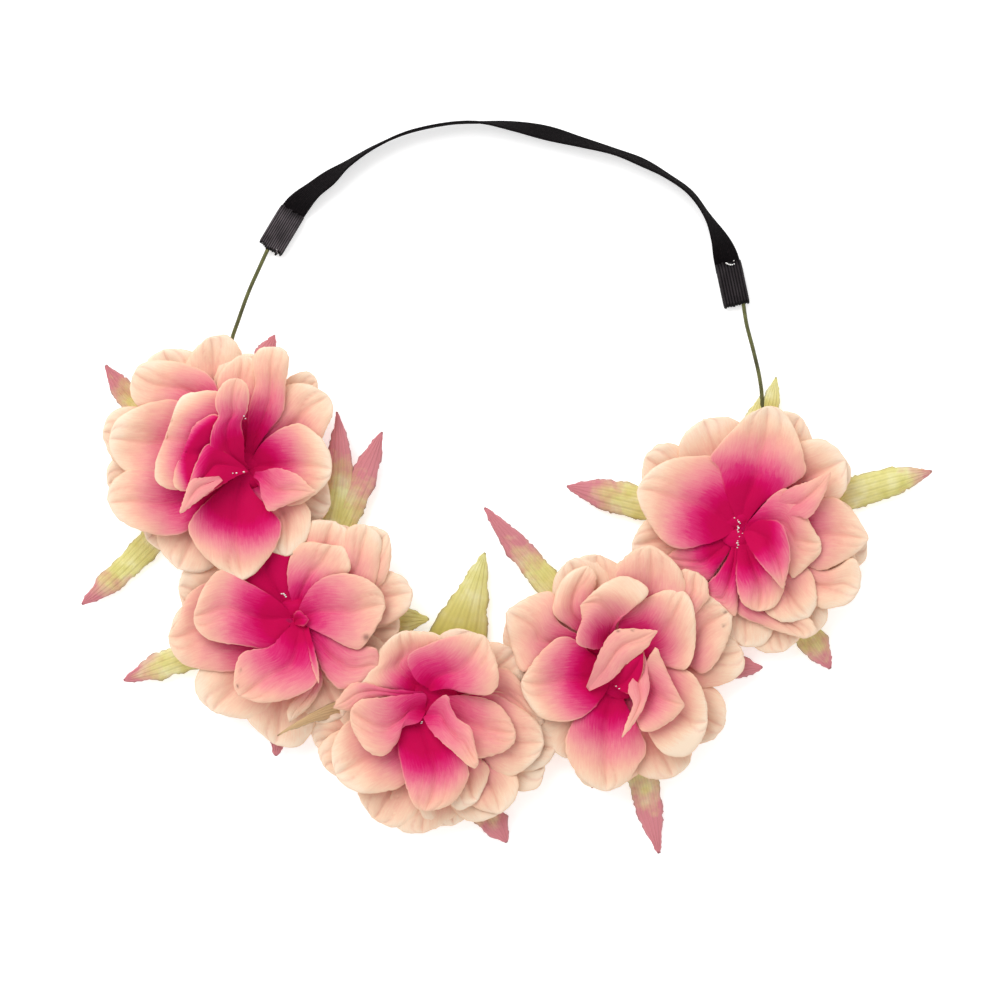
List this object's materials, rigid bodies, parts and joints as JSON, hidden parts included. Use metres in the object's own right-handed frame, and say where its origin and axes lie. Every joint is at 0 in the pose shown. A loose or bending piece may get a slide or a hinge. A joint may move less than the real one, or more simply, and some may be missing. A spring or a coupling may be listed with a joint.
{
  "type": "flower crown",
  "caption": "Flower crown: layered fabric flower heads with pointed leaves on a coated wire arc, closed at the back by an elastic band.",
  "frame": {"origin": "the middle of the head opening, on the surface that the crown lies on", "axes": "+Z is the way the flowers face and the head opening's axis, +Y points from the middle of the flower arc to the elastic band at the back, +X to the right seen from above"},
  "size_m": [0.2564, 0.222, 0.0251],
  "materials": {
    "petal_peach": "pressed polyester, matte with a soft sheen",
    "petal_pink": "pressed polyester, matte with a soft sheen",
    "petal_magenta": "pressed polyester, matte with a soft sheen",
    "leaf_fabric": "pressed polyester, matte",
    "moulded_green": "matte",
    "moulded_pip": "matte",
    "coated_wire": "satin paper and plastic coating",
    "elastic": "ribbed braided elastic with a slight gloss",
    "hot_glue": "milky, glossy"
  },
  "bodies": {
    "front": {"flower_1_leaf_whorl": "leaf_fabric", "flower_1_glue_pad": "hot_glue", "flower_1_calyx": "moulded_green", "flower_1_petals_outer": "petal_peach", "flower_1_petals_second": "petal_peach", "flower_1_petals_third": "petal_pink", "flower_1_petals_inner": "petal_pink", "flower_1_heart": "petal_magenta", "flower_1_pip": "moulded_pip", "flower_2_leaf_whorl": "leaf_fabric", "flower_2_glue_pad": "hot_glue", "flower_2_calyx": "moulded_green", "flower_2_petals_outer": "petal_peach", "flower_2_petals_second": "petal_peach", "flower_2_petals_third": "petal_pink", "flower_2_petals_inner": "petal_pink", "flower_2_heart": "petal_magenta", "flower_2_pip": "moulded_pip", "flower_3_leaf_whorl": "leaf_fabric", "flower_3_glue_pad": "hot_glue", "flower_3_calyx": "moulded_green", "flower_3_petals_outer": "petal_peach", "flower_3_petals_second": "petal_peach", "flower_3_petals_third": "petal_pink", "flower_3_petals_inner": "petal_pink", "flower_3_heart": "petal_magenta", "flower_3_pip": "moulded_pip", "flower_4_leaf_whorl": "leaf_fabric", "flower_4_glue_pad": "hot_glue", "flower_4_calyx": "moulded_green", "flower_4_petals_outer": "petal_peach", "flower_4_petals_second": "petal_peach", "flower_4_petals_third": "petal_pink", "flower_4_petals_inner": "petal_pink", "flower_4_heart": "petal_magenta", "flower_4_pip": "moulded_pip", "flower_5_leaf_whorl": "leaf_fabric", "flower_5_glue_pad": "hot_glue", "flower_5_calyx": "moulded_green", "flower_5_petals_outer": "petal_peach", "flower_5_petals_second": "petal_peach", "flower_5_petals_third": "petal_pink", "flower_5_petals_inner": "petal_pink", "flower_5_heart": "petal_magenta", "flower_5_pip": "moulded_pip", "wire_front": "coated_wire", "elastic_band": "elastic"},
    "left_arm": {"wire_arm_left": "coated_wire", "band_fold_left": "elastic", "fold_glue_left": "hot_glue"},
    "right_arm": {"wire_arm_right": "coated_wire", "band_fold_right": "elastic", "fold_glue_right": "hot_glue"}
  },
  "joints": [
    {"name": "left_arm_flex", "type": "hinge", "parent": "front", "child": "left_arm", "pos_m": [-0.0816, 0.023, 0.0026], "axis": [0, 0, 1], "range_deg": [-10, 15], "stiffness_Nm_per_rad": 0.02, "deforming": ["elastic_band"]},
    {"name": "right_arm_flex", "type": "hinge", "parent": "front", "child": "right_arm", "pos_m": [0.0792, 0.0046, 0.0026], "axis": [0, 0, -1], "range_deg": [-10, 15], "stiffness_Nm_per_rad": 0.02, "deforming": ["elastic_band"]}
  ]
}
